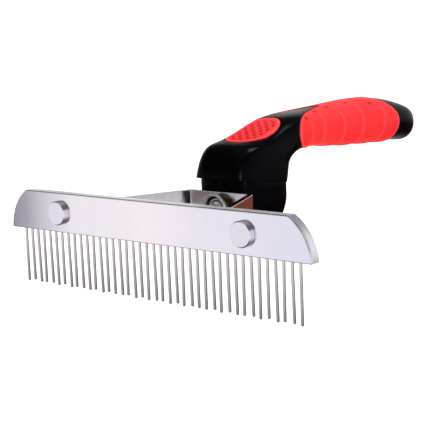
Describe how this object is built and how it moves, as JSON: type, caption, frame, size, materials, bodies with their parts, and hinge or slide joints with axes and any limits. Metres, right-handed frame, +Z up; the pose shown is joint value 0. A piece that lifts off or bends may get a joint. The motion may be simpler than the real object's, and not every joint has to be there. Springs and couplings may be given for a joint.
{
  "type": "undercoat rake",
  "caption": "Wide pet undercoat rake: a single row of round steel pins in a plated bar, a bent strap bracket and a raised two-tone soft grip handle.",
  "frame": {"origin": "on the table under the middle of the whole rake: the pin tips touch Z = 0, X = 0 is the plane that splits head and handle, and Y = 0 is half way from the buttons to the butt", "axes": "+X along the head to the right, +Y from the head back along the handle, +Z up from the pin tips"},
  "size_m": [0.16, 0.1924, 0.0676],
  "materials": {
    "plate_polish": "polished plate",
    "bar_alloy": "polished alloy",
    "pin_steel": "drawn steel wire",
    "button_plate": "polished plate",
    "bracket_plate": "polished plate",
    "fastener_steel": "bright zinc",
    "insert_brass": "knurled brass",
    "black_core": "fine satin",
    "black_cover": "satin gloss",
    "red_soft": "soft matt with shallow ribs"
  },
  "bodies": {
    "root": {"bolt_cup": "bracket_plate", "bolt_lock_washer": "fastener_steel", "butt_shell": "black_cover", "cap_posts": "button_plate", "cap_washers": "button_plate", "front_plate": "plate_polish", "grip_sleeve": "red_soft", "handle_bolt": "fastener_steel", "handle_bracket": "bracket_plate", "handle_core": "black_core", "neck_shell": "black_cover", "pin_01": "pin_steel", "pin_02": "pin_steel", "pin_03": "pin_steel", "pin_04": "pin_steel", "pin_05": "pin_steel", "pin_06": "pin_steel", "pin_07": "pin_steel", "pin_08": "pin_steel", "pin_09": "pin_steel", "pin_10": "pin_steel", "pin_11": "pin_steel", "pin_12": "pin_steel", "pin_13": "pin_steel", "pin_14": "pin_steel", "pin_15": "pin_steel", "pin_16": "pin_steel", "pin_17": "pin_steel", "pin_18": "pin_steel", "pin_19": "pin_steel", "pin_20": "pin_steel", "pin_21": "pin_steel", "pin_22": "pin_steel", "pin_23": "pin_steel", "pin_24": "pin_steel", "pin_25": "pin_steel", "pin_26": "pin_steel", "pin_27": "pin_steel", "pin_28": "pin_steel", "pin_29": "pin_steel", "pin_30": "pin_steel", "pin_31": "pin_steel", "pin_32": "pin_steel", "pin_33": "pin_steel", "pin_34": "pin_steel", "pin_35": "pin_steel", "pin_36": "pin_steel", "pin_37": "pin_steel", "pin_38": "pin_steel", "pin_39": "pin_steel", "pin_40": "pin_steel", "pin_bar": "bar_alloy", "rear_lock_washers": "fastener_steel", "rear_screws": "fastener_steel", "threaded_insert": "insert_brass", "thumb_pad": "red_soft"}
  },
  "joints": []
}
